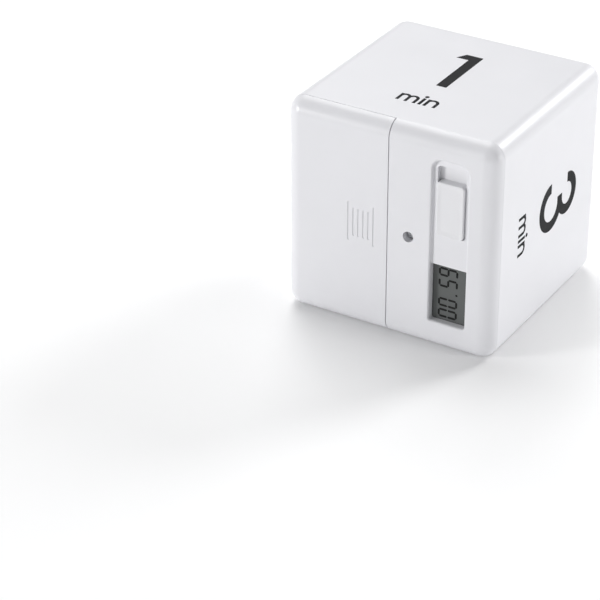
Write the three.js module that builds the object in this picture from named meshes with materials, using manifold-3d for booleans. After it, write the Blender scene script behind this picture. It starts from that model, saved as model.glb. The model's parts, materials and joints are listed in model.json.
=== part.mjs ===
// Cube timer: a white plastic cube that counts down when one of its numbered faces is turned up.
// Millimetres, +Z up. The display faces -Y, the 1-minute face is up, the 5-minute face is down.
// Everything is laid out from the centre of the cube, and the last lines lift the cube so that the
// origin is the centre of the face that it stands on.

import * as THREE from 'three';
import { mergeVertices } from 'three/addons/utils/BufferGeometryUtils.js';
import { RoundedBoxGeometry } from 'three/addons/geometries/RoundedBoxGeometry.js';
import Module from 'manifold-3d';

const wasm = await Module();
wasm.setup();

// ---------------------------------------------------------------- driving dimensions

// Case
const side = 64;
const edgeRadius = 4.6;
const wall = 2.2;
const innerRadius = 2.4;
const lidDepth = 4;             // the display-side panels reach this far in from the display face
const lidPlate = 2.4;           // thickness of those panels
const fixedGap = 0.1;           // front panel to shell
const slidingGap = 0.15;        // battery cover to shell
const seamGap = 0.25;           // battery cover to front panel

// Recess that holds the switch and the display
const recessCentreX = 18.4;
const recessWidth = 10.8;
const recessBottom = -23.5;
const recessTopMargin = 2;      // above the switch's slot
const recessDepth = 1.4;
const recessTopRadius = 3;
const recessBottomRadius = 0.6;
const recessFloor = 2;          // thickness left behind the recess

// Display
const windowHeight = 17.2;
const glassInset = 2.2;         // depth of the glass below the display face
const glassMargin = 1;
const glassThickness = 2;
const glassClearance = 0.15;
const pocketWall = 1;
const stripWidth = 1.6;
const stripInset = 0.9;
const reflectorThickness = 0.3;

// Switch
const knobWidth = 8;
const knobHeight = 15.7;
const knobAboveWindow = 9.3;
const knobInset = 0.2;          // the knob's face lies this far below the display face
const knobRadius = 1;
const knobTravel = 4;
const knobSideGap = 0.2;
const knobEndGap = 0.3;
const dustPlate = 0.8;
const dustOverlap = 0.9;
const guideRib = 1;
const stemSize = 1.8;
const switchWidth = 8.6;
const switchLength = 14;
const switchHeight = 3.8;
const switchSheet = 0.4;

// Circuit board
const boardLeft = 9.6;
const boardRight = 28.7;
const boardHalfHeight = 28.4;
const boardDepth = 10.5;        // from the display face to the board's front
const boardThickness = 1.2;
const bossRadius = 1.6;
const bossInsetLeft = 1.7;
const bossInsetRight = 1.8;
const bossInsetEnd = 1.8;
const boardScrewRadius = 0.75;
const boardScrewHeadRadius = 1.5;
const boardScrewHeadHeight = 1;
const boardScrewLength = 5;

// Front panel's screw and hooks
const panelScrewX = 6.3;
const panelScrewRadius = 0.9;
const panelScrewHeadRadius = 1.25;
const panelScrewHeadHeight = 1.2;
const panelScrewInset = 1.9;    // depth of the head below the display face
const panelScrewLength = 9;
const counterboreRadius = 1.55;
const panelBossRadius = 3.2;
const panelBossDepth = 4.8;
const hookHeight = 8;
const hookThickness = 1.2;
const hookReach = 9.5;
const hookNib = 0.8;
const hookOffset = 18;

// Batteries and their box
const cellRadius = 5.2;
const cellLength = 44.5;
const nubRadius = 1.9;
const nubHeight = 0.8;
const cellPitch = 11.5;
const cellSideGap = 0.3;
const springLength = 4.6;
const contactSheet = 0.4;
const boxWall = 1.2;
const boxFloor = 1.6;
const boxRimDepth = 3.7;        // from the display face to the box's rim
const boxRight = -2;
const railFlange = 1.2;
const railGap = 0.2;
const railThickness = 0.9;
const boxScrewRadius = 1.1;
const boxScrewHeadRadius = 2.1;
const boxScrewHeadHeight = 1.2;
const boxScrewLength = 8;
const boxScrewSeat = 0.7;
const boxScrewOffset = 14;
const postRadius = 2.75;

// Grip on the battery cover
const gripCount = 6;
const gripPitch = 1.55;
const gripFirstX = -4.2;
const gripWidth = 0.5;
const gripDepth = 0.3;
const gripOuterLength = 11.8;
const gripInnerLength = 8.4;

// Tilt switches
const ballRadius = 1.5;
const tubeInnerRadius = 1.9;
const tubeOuterRadius = 2.4;
const tubeLength = 7.4;
const tubeEnd = 0.5;
const plugDepth = 1;
const plugFlange = 0.8;

// Buzzer
const buzzerRadius = 12;
const buzzerWall = 1;
const buzzerHeight = 3.4;
const buzzerX = 12;
const ceramicRadius = 7;
const foilThickness = 0.25;

const clearance = 0.1;          // between flat faces that rest on each other
const holeClearance = 0.12;     // round a screw's shank

// ---------------------------------------------------------------- places that follow from them

const half = side / 2;
const front = -half;
const inner = half - wall;
const parting = front + lidDepth;
const plateBack = front + lidPlate;
const recessLeft = recessCentreX - recessWidth / 2;
const recessRight = recessCentreX + recessWidth / 2;
const floorFront = front + recessDepth;
const floorBack = floorFront + recessFloor;
const windowTop = recessBottom + windowHeight;
const glassFront = front + glassInset;
const glassBack = glassFront + glassThickness;
const glassLeft = recessLeft - glassMargin;
const glassRight = recessRight + glassMargin;
const glassBottom = recessBottom - glassMargin;
const glassTop = windowTop + glassMargin;
const slotWidth = knobWidth + 2 * knobSideGap;
const knobBottom = windowTop + knobAboveWindow;
const slotBottom = knobBottom - knobEndGap;
const slotTop = knobBottom + knobHeight + knobTravel + knobEndGap;
const recessTop = slotTop + recessTopMargin;
const knobCentreZ = knobBottom + knobHeight / 2;
const dustFront = floorBack + clearance;
const dustBack = dustFront + dustPlate;
const dustHalfWidth = slotWidth / 2 + dustOverlap;
const boardFront = front + boardDepth;
const boardBack = boardFront + boardThickness;
const boardHoles = [boardLeft + bossInsetLeft, boardRight - bossInsetRight].flatMap(
  (x) => [-1, 1].map((end) => ({ x, z: end * (boardHalfHeight - bossInsetEnd) })),
);
const switchFront = boardFront - clearance - switchHeight;
const boxLeft = boxRight - 2 * boxWall - cellPitch - 2 * (cellRadius + cellSideGap);
const cellCentresX = [
  boxLeft + boxWall + cellSideGap + cellRadius,
  boxRight - boxWall - cellSideGap - cellRadius,
];
const boxMiddleX = (boxLeft + boxRight) / 2;
const boxRim = front + boxRimDepth;
const cellHalfRoom = (cellLength + springLength) / 2 + contactSheet + 2 * clearance;
const boxHalfHeight = cellHalfRoom + boxWall;
const cellAxisY = boxRim + 2.5 + cellRadius;
const boxFloorFront = cellAxisY + cellRadius + clearance;
const boxFloorBack = boxFloorFront + boxFloor;
const railInner = boxHalfHeight + railFlange + railGap;
const railOuter = railInner + railThickness;
const railFoot = boxRim + railFlange + railGap;

// ---------------------------------------------------------------- shapes

/** A closed geometry as a solid that can be joined and cut. */
function solid(geometry) {
  const bare = geometry.clone();
  for (const name of Object.keys(bare.attributes)) {
    if (name !== 'position') bare.deleteAttribute(name);
  }
  const merged = mergeVertices(bare, 1e-4);
  return new wasm.Manifold(new wasm.Mesh({
    numProp: 3,
    vertProperties: new Float32Array(merged.attributes.position.array),
    triVerts: new Uint32Array(merged.index.array),
  }));
}

/** A box between two corners. */
function block([x0, y0, z0], [x1, y1, z1]) {
  const geometry = new THREE.BoxGeometry(x1 - x0, y1 - y0, z1 - z0);
  return solid(geometry.translate((x0 + x1) / 2, (y0 + y1) / 2, (z0 + z1) / 2));
}

/** A round bar along Y, from y0 to y1. */
function barY(radius, x, z, y0, y1, sides = 20) {
  const geometry = new THREE.CylinderGeometry(radius, radius, y1 - y0, sides);
  return solid(geometry.translate(x, (y0 + y1) / 2, z));
}

/** An outline in X and Z, given a thickness from y0 to y1. */
function slab(outline, y0, y1, curveSegments = 6) {
  const geometry = new THREE.ExtrudeGeometry(outline, { depth: y1 - y0, bevelEnabled: false, curveSegments });
  return solid(geometry.rotateX(Math.PI / 2).translate(0, y1, 0));
}

/** A rectangle in X and Z whose bottom and top corners have their own radii. */
function roundedOutline(x0, x1, z0, z1, bottomRadius, topRadius) {
  const b = bottomRadius;
  const t = topRadius;
  const outline = new THREE.Shape();
  outline.moveTo(x0 + b, z0);
  outline.lineTo(x1 - b, z0);
  outline.absarc(x1 - b, z0 + b, b, -Math.PI / 2, 0, false);
  outline.lineTo(x1, z1 - t);
  outline.absarc(x1 - t, z1 - t, t, 0, Math.PI / 2, false);
  outline.lineTo(x0 + t, z1);
  outline.absarc(x0 + t, z1 - t, t, Math.PI / 2, Math.PI, false);
  outline.lineTo(x0, z0 + b);
  outline.absarc(x0 + b, z0 + b, b, Math.PI, 1.5 * Math.PI, false);
  return outline;
}

/** A turned shape about Z: the profile is a list of [radius, z] and starts and ends on the axis. */
function turned(profile, sides = 20) {
  const points = profile.map(([radius, z]) => new THREE.Vector2(radius, z));
  return solid(new THREE.LatheGeometry(points, sides).rotateX(Math.PI / 2));
}

/** A round wire along a curve. */
function wire(curve, radius, steps, sides = 6) {
  const section = new THREE.Shape();
  section.absarc(0, 0, radius, 0, 2 * Math.PI, false);
  return new THREE.ExtrudeGeometry(section, { extrudePath: curve, steps, curveSegments: sides });
}

function joined(first, ...others) {
  return others.reduce((sum, other) => sum.add(other), first);
}

function cut(body, ...tools) {
  return tools.reduce((rest, tool) => rest.subtract(tool), body);
}

/** A joined or cut solid as a geometry again. */
function asGeometry(shape) {
  const mesh = shape.getMesh();
  const geometry = new THREE.BufferGeometry();
  geometry.setAttribute('position', new THREE.BufferAttribute(new Float32Array(mesh.vertProperties), 3));
  geometry.setIndex(new THREE.BufferAttribute(new Uint32Array(mesh.triVerts), 1));
  geometry.computeVertexNormals();
  return geometry;
}

// ---------------------------------------------------------------- materials

const looks = {
  casePlastic: { color: 0xe9e9ec, roughness: 0.42, metalness: 0 },
  blackPlastic: { color: 0x1c1c1e, roughness: 0.5, metalness: 0 },
  steel: { color: 0xb9bcc0, roughness: 0.35, metalness: 1 },
  springSteel: { color: 0xc9ccd0, roughness: 0.3, metalness: 1 },
  brass: { color: 0xc9a24a, roughness: 0.4, metalness: 1 },
  ceramic: { color: 0xdedbd0, roughness: 0.6, metalness: 0 },
  board: { color: 0x2f6b3c, roughness: 0.55, metalness: 0 },
  phenolic: { color: 0x8a5a2e, roughness: 0.6, metalness: 0 },
  displayGlass: { color: 0x5c605c, roughness: 0.2, metalness: 0 },
  foil: { color: 0xc4c8c2, roughness: 0.5, metalness: 0.4 },
  rubber: { color: 0x3a3a3c, roughness: 0.9, metalness: 0 },
  epoxy: { color: 0x121212, roughness: 0.3, metalness: 0 },
  cellWrap: { color: 0x3c5a86, roughness: 0.35, metalness: 0.1 },
  redInsulation: { color: 0xb32420, roughness: 0.5, metalness: 0 },
  blackInsulation: { color: 0x202020, roughness: 0.5, metalness: 0 },
};

const timer = new THREE.Group();

/** Adds a named piece to the timer, or to a group inside it. */
function add(name, shape, look, parent = timer) {
  const geometry = shape.isBufferGeometry ? shape : asGeometry(shape);
  const mesh = new THREE.Mesh(geometry, new THREE.MeshStandardMaterial(looks[look]));
  mesh.name = name;
  parent.add(mesh);
  return mesh;
}

// ---------------------------------------------------------------- case

/** The whole cube's outside. */
function cubeOutside() {
  return solid(new RoundedBoxGeometry(side, side, side, 4, edgeRadius));
}

/** The inside of a display-side panel, up to its plate. */
function lidInside() {
  return block([-inner, plateBack, -inner], [inner, half, inner]);
}

function mainShell() {
  const room = solid(new RoundedBoxGeometry(2 * inner, 2 * inner, 2 * inner, 2, innerRadius));
  const mouth = block([-inner, front - 1, -inner], [inner, front + lidDepth + innerRadius + 3, inner]);
  const behindLid = block([-half - 1, parting + fixedGap / 2, -half - 1], [half + 1, half + 1, half + 1]);
  const hookPockets = [-1, 1].map((end) => block(
    [inner - 0.5, front + hookReach - 2.4, end * hookOffset - hookHeight / 2 - 0.3],
    [inner + hookNib + 0.1, front + hookReach + 0.2, end * hookOffset + hookHeight / 2 + 0.3],
  ));
  const railNotches = [-1, 1].map((end) => {
    const z = [railInner - 0.9, railOuter + 0.3].map((value) => end * value).sort((a, b) => a - b);
    return block([-half - 1, parting - 1, z[0]], [-inner + 0.5, railFoot + 1.2, z[1]]);
  });
  const posts = [-1, 1].map((end) => barY(
    postRadius, boxMiddleX, end * boxScrewOffset, boxFloorBack + clearance, inner + 0.5, 16,
  ));
  const ribs = [-1, 1].map((end) => block(
    [boxMiddleX - 0.7, boxFloorBack + 8, end * boxScrewOffset - 7],
    [boxMiddleX + 0.7, inner + 0.5, end * boxScrewOffset + 7],
  ));
  const postBores = [-1, 1].map((end) => barY(
    boxScrewRadius + holeClearance, boxMiddleX, end * boxScrewOffset, boxFloorBack - 1, boxFloorBack + 12, 12,
  ));
  const shell = cut(cubeOutside().intersect(behindLid), room, mouth, ...hookPockets, ...railNotches);
  return cut(joined(shell, ...posts, ...ribs), ...postBores);
}

function frontPanel() {
  const reach = block([seamGap / 2, front - 1, -half - 1], [half + 1, parting - fixedGap / 2, half + 1]);
  const outline = roundedOutline(
    recessLeft, recessRight, recessBottom, recessTop, recessBottomRadius, recessTopRadius,
  );
  const backing = block(
    [recessLeft - glassMargin - pocketWall, plateBack - 0.2, glassBottom - pocketWall],
    [recessRight + glassMargin + pocketWall, floorBack, recessTop + 1],
  );
  const pocketRing = block(
    [glassLeft - glassClearance - pocketWall, plateBack - 0.2, glassBottom - glassClearance - pocketWall],
    [glassRight + glassClearance + pocketWall, glassBack, glassTop + glassClearance + pocketWall],
  );
  const pocket = block(
    [glassLeft - glassClearance, glassFront, glassBottom - glassClearance],
    [glassRight + glassClearance, half, glassTop + glassClearance],
  );
  const window = slab(roundedOutline(
    recessLeft, recessRight, recessBottom, windowTop, recessBottomRadius, 0.3,
  ), front - 1, glassFront + 1);
  const slot = slab(roundedOutline(
    recessCentreX - slotWidth / 2, recessCentreX + slotWidth / 2, slotBottom, slotTop, knobRadius, knobRadius,
  ), front - 1, floorBack + 1);
  const guides = [-1, 1].map((way) => {
    const x = [dustHalfWidth + knobSideGap, dustHalfWidth + knobSideGap + guideRib]
      .map((value) => recessCentreX + way * value).sort((a, b) => a - b);
    return block([x[0], floorBack - 0.2, slotBottom - 1], [x[1], dustBack + 0.6, recessTop]);
  });
  const bosses = boardHoles.map(({ x, z }) => barY(
    bossRadius, x, z, plateBack - 0.2, boardFront - clearance, 14,
  ));
  const bossBores = boardHoles.map(({ x, z }) => barY(
    boardScrewRadius + holeClearance, x, z, boardFront - boardScrewLength - 0.6, boardFront + 1, 10,
  ));
  const hooks = [-1, 1].flatMap((end) => {
    const z0 = end * hookOffset - hookHeight / 2;
    const z1 = end * hookOffset + hookHeight / 2;
    const x1 = inner - 0.2;
    return [
      block([x1 - hookThickness, plateBack - 0.2, z0], [x1, front + hookReach, z1]),
      block([x1 - 0.1, front + hookReach - 1.6, z0], [x1 + hookNib, front + hookReach, z1]),
    ];
  });
  const screwBoss = barY(panelBossRadius, panelScrewX, 0, plateBack - 0.2, front + panelBossDepth, 24);
  const counterbore = barY(
    counterboreRadius, panelScrewX, 0, front - 1, front + panelScrewInset + panelScrewHeadHeight + 0.02, 32,
  );
  const screwHole = barY(panelScrewRadius + 0.2, panelScrewX, 0, front - 1, front + panelBossDepth + 1, 16);

  const panel = cut(cubeOutside().intersect(reach), lidInside(), slab(outline, front - 1, floorFront));
  const behind = cut(joined(backing, pocketRing), slab(outline, front - 1, floorFront));
  return cut(
    joined(panel, behind, ...guides, ...bosses, ...hooks, screwBoss),
    pocket, window, slot, counterbore, screwHole, ...bossBores,
  );
}

function panelScrew() {
  const top = front + panelScrewInset;
  const neck = top + panelScrewHeadHeight;
  const head = barY(panelScrewHeadRadius, panelScrewX, 0, top, neck, 24);
  const shank = barY(panelScrewRadius, panelScrewX, 0, neck - 0.1, neck + panelScrewLength, 12);
  const slots = [0, Math.PI / 2].map((turn) => solid(
    new THREE.BoxGeometry(1.7, 0.8, 0.4).rotateY(Math.PI / 4 + turn).translate(panelScrewX, top, 0),
  ));
  return cut(joined(head, shank), ...slots);
}

function gripGrooves() {
  return Array.from({ length: gripCount }, (_, i) => {
    const length = i === 0 || i === gripCount - 1 ? gripOuterLength : gripInnerLength;
    const x = gripFirstX - i * gripPitch;
    return block(
      [x - gripWidth / 2, front - 1, -length / 2],
      [x + gripWidth / 2, front + gripDepth, length / 2],
    );
  });
}

function batteryCover() {
  const reach = block([-half - 1, front - 1, -half - 1], [-seamGap / 2, parting - slidingGap, half + 1]);
  const tongueHalf = inner - 6;
  const tongue = joined(
    block([-3, plateBack - 0.2, -tongueHalf], [-seamGap / 2, plateBack + 1, tongueHalf]),
    block([-0.5, plateBack + slidingGap, -tongueHalf], [1.3, plateBack + 1, tongueHalf]),
  );
  const railX = [boxLeft + 1.2, boxRight - 1];
  const rails = [-1, 1].flatMap((end) => {
    const leg = [railInner, railOuter].map((value) => end * value).sort((a, b) => a - b);
    const foot = [railInner - 0.9, railOuter].map((value) => end * value).sort((a, b) => a - b);
    return [
      block([railX[0], plateBack - 0.2, leg[0]], [railX[1], railFoot + 0.9, leg[1]]),
      block([railX[0], railFoot, foot[0]], [railX[1], railFoot + 0.9, foot[1]]),
    ];
  });
  const cover = cut(cubeOutside().intersect(reach), lidInside(), ...gripGrooves());
  return joined(cover, tongue, ...rails);
}

// ---------------------------------------------------------------- switch

function switchKnob() {
  const pad = slab(roundedOutline(
    recessCentreX - knobWidth / 2, recessCentreX + knobWidth / 2,
    knobBottom, knobBottom + knobHeight, knobRadius, knobRadius,
  ), front + knobInset, dustFront + 0.2);
  const plate = block(
    [recessCentreX - dustHalfWidth, dustFront, slotBottom - knobTravel - 0.6],
    [recessCentreX + dustHalfWidth, dustBack, slotTop + 0.6],
  );
  const socket = block(
    [recessCentreX - stemSize / 2 - 1.2, dustBack - 0.2, knobCentreZ - stemSize / 2 - 1.2],
    [recessCentreX + stemSize / 2 + 1.2, switchFront - 0.3, knobCentreZ + stemSize / 2 + 1.2],
  );
  const stemHole = block(
    [recessCentreX - stemSize / 2 - clearance, dustBack + 0.1, knobCentreZ - stemSize / 2 - clearance],
    [recessCentreX + stemSize / 2 + clearance, switchFront, knobCentreZ + stemSize / 2 + clearance],
  );
  return cut(joined(pad, plate, socket), stemHole);
}

const switchPlateFront = switchFront + switchSheet + clearance;
const switchPlateBack = switchPlateFront + 1;
const switchBaseFront = switchPlateBack + clearance;
const switchCentreZ = knobCentreZ + knobTravel / 2;

function switchActuator() {
  return joined(
    block(
      [recessCentreX - 2.6, switchPlateFront, knobCentreZ - 2.6],
      [recessCentreX + 2.6, switchPlateBack, knobCentreZ + 2.6],
    ),
    block(
      [recessCentreX - stemSize / 2, dustBack + 0.4, knobCentreZ - stemSize / 2],
      [recessCentreX + stemSize / 2, switchPlateFront + 0.1, knobCentreZ + stemSize / 2],
    ),
  );
}

function switchFrame() {
  const w = switchWidth / 2;
  const l = switchLength / 2;
  const outside = block(
    [recessCentreX - w, switchFront, switchCentreZ - l],
    [recessCentreX + w, boardFront - clearance, switchCentreZ + l],
  );
  const inside = block(
    [recessCentreX - w + switchSheet, switchFront + switchSheet, switchCentreZ - l + switchSheet],
    [recessCentreX + w - switchSheet, boardFront, switchCentreZ + l - switchSheet],
  );
  const opening = block(
    [recessCentreX - stemSize / 2 - 0.2, switchFront - 1, knobCentreZ - stemSize / 2 - 0.3],
    [recessCentreX + stemSize / 2 + 0.2, switchFront + 1, knobCentreZ + stemSize / 2 + knobTravel + 0.3],
  );
  return cut(outside, inside, opening);
}

const switchPins = [-4.5, -1.5, 1.5, 4.5].map((offset) => ({ x: recessCentreX, z: switchCentreZ + offset }));

function switchBase() {
  const w = switchWidth / 2 - switchSheet - clearance;
  const l = switchLength / 2 - switchSheet - clearance;
  const base = block(
    [recessCentreX - w, switchBaseFront, switchCentreZ - l],
    [recessCentreX + w, boardFront - clearance, switchCentreZ + l],
  );
  const pins = switchPins.map(({ x, z }) => barY(0.4, x, z, switchBaseFront + 0.5, boardBack + 1, 8));
  return joined(base, ...pins);
}

// ---------------------------------------------------------------- display

function displayGlass() {
  const joint = glassFront + glassThickness / 2;
  const step = 0.3;
  const rear = block([glassLeft, joint, glassBottom], [glassRight, glassBack, glassTop]);
  const cover = block(
    [glassLeft + step, glassFront + 0.02, glassBottom + step],
    [glassRight - step, joint + 0.1, glassTop - step],
  );
  return joined(rear, cover);
}

const stripSlots = [glassLeft + stripInset, glassRight - stripInset - stripWidth];

function displayHolder() {
  const body = block(
    [glassLeft, glassBack + clearance, glassBottom],
    [glassRight, boardFront - clearance, glassTop],
  );
  const slots = stripSlots.map((x) => block(
    [x - clearance, glassBack, glassBottom + stripInset - clearance],
    [x + stripWidth + clearance, boardFront, glassTop - stripInset + clearance],
  ));
  const [left, right] = [stripSlots[0] + stripWidth + 0.8, stripSlots[1] - 0.8];
  const reflectorSeat = block(
    [left - clearance, glassBack, glassBottom + 1.2 - clearance],
    [right + clearance, glassBack + reflectorThickness + 2 * clearance, glassTop - 1.2 + clearance],
  );
  const hollow = block([left, glassBack + 1.6, glassBottom + 1.6], [right, boardFront, glassTop - 1.6]);
  return cut(body, ...slots, reflectorSeat, hollow);
}

function reflector() {
  return block(
    [stripSlots[0] + stripWidth + 0.8, glassBack + clearance / 2, glassBottom + 1.2],
    [stripSlots[1] - 0.8, glassBack + clearance / 2 + reflectorThickness, glassTop - 1.2],
  );
}

function contactStrip(x) {
  return block(
    [x, glassBack + clearance / 2, glassBottom + stripInset],
    [x + stripWidth, boardFront - clearance / 2, glassTop - stripInset],
  );
}

// ---------------------------------------------------------------- circuit board

function board() {
  const outline = roundedOutline(boardLeft, boardRight, -boardHalfHeight, boardHalfHeight, 1, 1);
  const screwHoles = boardHoles.map(({ x, z }) => barY(
    boardScrewRadius + 0.2, x, z, boardFront - 1, boardBack + 1, 12,
  ));
  const pinHoles = switchPins.map(({ x, z }) => barY(0.55, x, z, boardFront - 1, boardBack + 1, 8));
  return cut(slab(outline, boardFront, boardBack), ...screwHoles, ...pinHoles);
}

function boardScrew({ x, z }) {
  const headFront = boardBack + clearance;
  return joined(
    barY(boardScrewHeadRadius, x, z, headFront, headFront + boardScrewHeadHeight, 14),
    barY(boardScrewRadius, x, z, boardFront - boardScrewLength, headFront + 0.1, 10),
  );
}

/** A component's body standing on the back of the board. */
function onBoard(x, z, width, height, length) {
  const y0 = boardBack + clearance;
  return block([x - width / 2, y0, z - length / 2], [x + width / 2, y0 + height, z + length / 2]);
}

function controller() {
  const dome = turned([[0, 0], [3.3, 0], [3.1, 0.5], [2.5, 1], [1.3, 1.35], [0, 1.4]], 20);
  return dome.rotate([-90, 0, 0]).translate([13.6, boardBack + clearance, 17.5]);
}

function crystal() {
  const can = new THREE.CylinderGeometry(1, 1, 6, 12).rotateX(Math.PI / 2);
  return solid(can.translate(25, boardBack + clearance + 1.1, 17));
}

function capacitor() {
  const can = turned([[0, 0], [2.5, 0], [2.5, 1], [2.35, 1.3], [2.5, 1.6], [2.5, 7], [0, 7]], 16);
  return can.rotate([-90, 0, 0]).translate([13.5, boardBack + clearance, 5]);
}

// ---------------------------------------------------------------- tilt switches

const tiltPlaces = [
  { x: 18.5, z: -17, turn: Math.PI / 4 },
  { x: 18.5, z: -3, turn: -Math.PI / 4 },
];

/** A steel tube closed at its top end, along Z, with its open end at z = 0. */
function tiltTube() {
  const outside = turned([[0, 0], [tubeOuterRadius, 0], [tubeOuterRadius, tubeLength], [0, tubeLength]]);
  const end = tubeLength - tubeEnd;
  const bore = turned([[0, -1], [tubeInnerRadius, -1], [tubeInnerRadius, end], [0, end]]);
  return cut(outside, bore);
}

/** The plug that closes the tube's open end. */
function tiltPlug() {
  const radius = tubeInnerRadius - clearance;
  return turned([
    [0, -plugFlange - clearance], [tubeOuterRadius, -plugFlange - clearance],
    [tubeOuterRadius, -clearance], [radius, -clearance], [radius, plugDepth], [0, plugDepth],
  ], 20);
}

/** The ball at its lower end of travel. */
function tiltBall() {
  const z = plugDepth + clearance + ballRadius;
  return solid(new THREE.SphereGeometry(ballRadius, 16, 12).translate(0, 0, z));
}

// ---------------------------------------------------------------- buzzer

function buzzerCase() {
  const y1 = inner - 0.2;
  const y0 = y1 - buzzerHeight;
  return cut(
    barY(buzzerRadius, buzzerX, 0, y0, y1, 36),
    barY(buzzerRadius - buzzerWall, buzzerX, 0, y0 - 1, y0 + 1.4, 36),
    barY(buzzerRadius - 2 * buzzerWall, buzzerX, 0, y0 - 1, y1 - 0.8, 36),
  );
}

const buzzerDiscFront = inner - 0.2 - buzzerHeight + 1.4 - clearance - foilThickness;

// ---------------------------------------------------------------- batteries and their box

function batteryBox() {
  const outside = block([boxLeft, boxRim, -boxHalfHeight], [boxRight, boxFloorBack, boxHalfHeight]);
  const room = block(
    [boxLeft + boxWall, boxRim - 1, -cellHalfRoom],
    [boxRight - boxWall, boxFloorFront, cellHalfRoom],
  );
  const flanges = [-1, 1].map((end) => {
    const z = [boxHalfHeight - 0.2, boxHalfHeight + railFlange].map((v) => end * v).sort((a, b) => a - b);
    return block([boxLeft, boxRim, z[0]], [boxRight, boxRim + railFlange, z[1]]);
  });
  const bossFront = front + panelBossDepth + 0.2;
  const bossBack = bossFront + panelScrewLength;
  const boss = barY(2.8, panelScrewX, 0, bossFront, bossBack, 16);
  const web = block([boxRight - 0.2, bossFront, -1.2], [panelScrewX, bossBack, 1.2]);
  const bossBore = barY(panelScrewRadius + holeClearance, panelScrewX, 0, bossFront - 1, bossBack - 0.6, 12);
  const seatFront = boxFloorFront - 1;
  const screwSeats = [-boxScrewOffset, boxScrewOffset].flatMap((z) => [
    barY(boxScrewHeadRadius + 0.2, boxMiddleX, z, seatFront, boxFloorFront + boxScrewSeat, 20),
    barY(boxScrewRadius + holeClearance, boxMiddleX, z, seatFront, boxFloorBack + 1, 12),
  ]);
  const wireNotch = block(
    [boxRight - boxWall - 0.5, boxFloorFront - 3, cellHalfRoom - 9],
    [boxRight + 0.5, boxFloorFront - 0.4, cellHalfRoom - 5],
  );
  return cut(joined(cut(outside, room), ...flanges, boss, web), bossBore, ...screwSeats, wireNotch);
}

function boxScrew(end) {
  const seat = boxFloorFront + boxScrewSeat;
  const under = seat - clearance;
  const z = end * boxScrewOffset;
  return joined(
    barY(boxScrewHeadRadius, boxMiddleX, z, under - boxScrewHeadHeight, under, 20),
    barY(boxScrewRadius, boxMiddleX, z, seat - 0.2, seat + boxScrewLength, 12),
  );
}

const contactFace = cellHalfRoom - clearance - contactSheet;

/** A cell along Z; way is +1 when its positive end is up. */
function cell(x, way) {
  const tip = contactFace - clearance;
  const profile = [
    [0, tip - cellLength], [cellRadius - 0.6, tip - cellLength], [cellRadius, tip - cellLength + 0.6],
    [cellRadius, tip - nubHeight - 0.6], [cellRadius - 0.6, tip - nubHeight],
    [nubRadius, tip - nubHeight], [nubRadius, tip], [0, tip],
  ];
  return turned(profile, 24).rotate([way > 0 ? 0 : 180, 0, 0]).translate([x, cellAxisY, 0]);
}

/** A contact plate at one end of the box. */
function contactPlate(x0, x1, end) {
  const z = [contactFace, contactFace + contactSheet].map((value) => end * value).sort((a, b) => a - b);
  return block([x0, cellAxisY - 4.4, z[0]], [x1, boxFloorFront - clearance, z[1]]);
}

/** The coil that presses on a cell's flat end. */
class SpringCurve extends THREE.Curve {
  constructor(x, end, wireRadius) {
    super();
    Object.assign(this, { x, end, wireRadius });
  }

  getPoint(t, target = new THREE.Vector3()) {
    const turns = 3.5;
    const angle = 2 * Math.PI * turns * t;
    const radius = 3.4 - 1 * t;
    const start = contactFace - clearance - this.wireRadius;
    const room = springLength - 2 * clearance - 2 * this.wireRadius;
    return target.set(
      this.x + radius * Math.cos(angle),
      cellAxisY + radius * Math.sin(angle),
      this.end * (start - room * t),
    );
  }
}

// ---------------------------------------------------------------- wires

/** A wire that leaves one point and meets another square to Y, by way of the points between. */
function lead(points) {
  const curve = new THREE.CatmullRomCurve3(points.map(([x, y, z]) => new THREE.Vector3(x, y, z)));
  return wire(curve, 0.55, 24, 3);
}

// ---------------------------------------------------------------- assembly

add('main_shell', mainShell(), 'casePlastic');
add('front_panel', frontPanel(), 'casePlastic');
add('panel_screw', panelScrew(), 'steel');
add('battery_cover', batteryCover(), 'casePlastic');

add('switch_knob', switchKnob(), 'casePlastic');
add('slide_switch_actuator', switchActuator(), 'blackPlastic');
add('slide_switch_frame', switchFrame(), 'steel');
add('slide_switch_base', switchBase(), 'phenolic');

add('display_glass', displayGlass(), 'displayGlass');
add('display_reflector', reflector(), 'foil');
add('display_holder', displayHolder(), 'blackPlastic');
stripSlots.forEach((x, i) => add(`contact_strip_${i + 1}`, contactStrip(x), 'rubber'));

add('circuit_board', board(), 'board');
boardHoles.forEach((hole, i) => add(`board_screw_${i + 1}`, boardScrew(hole), 'steel'));
add('controller_chip', controller(), 'epoxy');
add('crystal', crystal(), 'steel');
add('capacitor', capacitor(), 'blackPlastic');
[[23.6, 9.5], [23.6, 6.5], [13, 24]].forEach(([x, z], i) => {
  add(`resistor_${i + 1}`, onBoard(x, z, 3.2, 0.6, 1.6), 'epoxy');
});
add('driver_transistor', onBoard(24.5, 22, 3, 1.1, 1.6), 'epoxy');

tiltPlaces.forEach(({ x, z, turn }, i) => {
  const tilt = new THREE.Group();
  tilt.position.set(x, boardBack + 0.3 + tubeOuterRadius, z);
  tilt.rotation.y = turn;
  const middle = new THREE.Group();
  middle.position.z = -tubeLength / 2;
  tilt.add(middle);
  add(`tilt_tube_${i + 1}`, tiltTube(), 'steel', middle);
  add(`tilt_plug_${i + 1}`, tiltPlug(), 'blackPlastic', middle);
  add(`tilt_ball_${i + 1}`, tiltBall(), 'steel', middle);
  timer.add(tilt);
});

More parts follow.
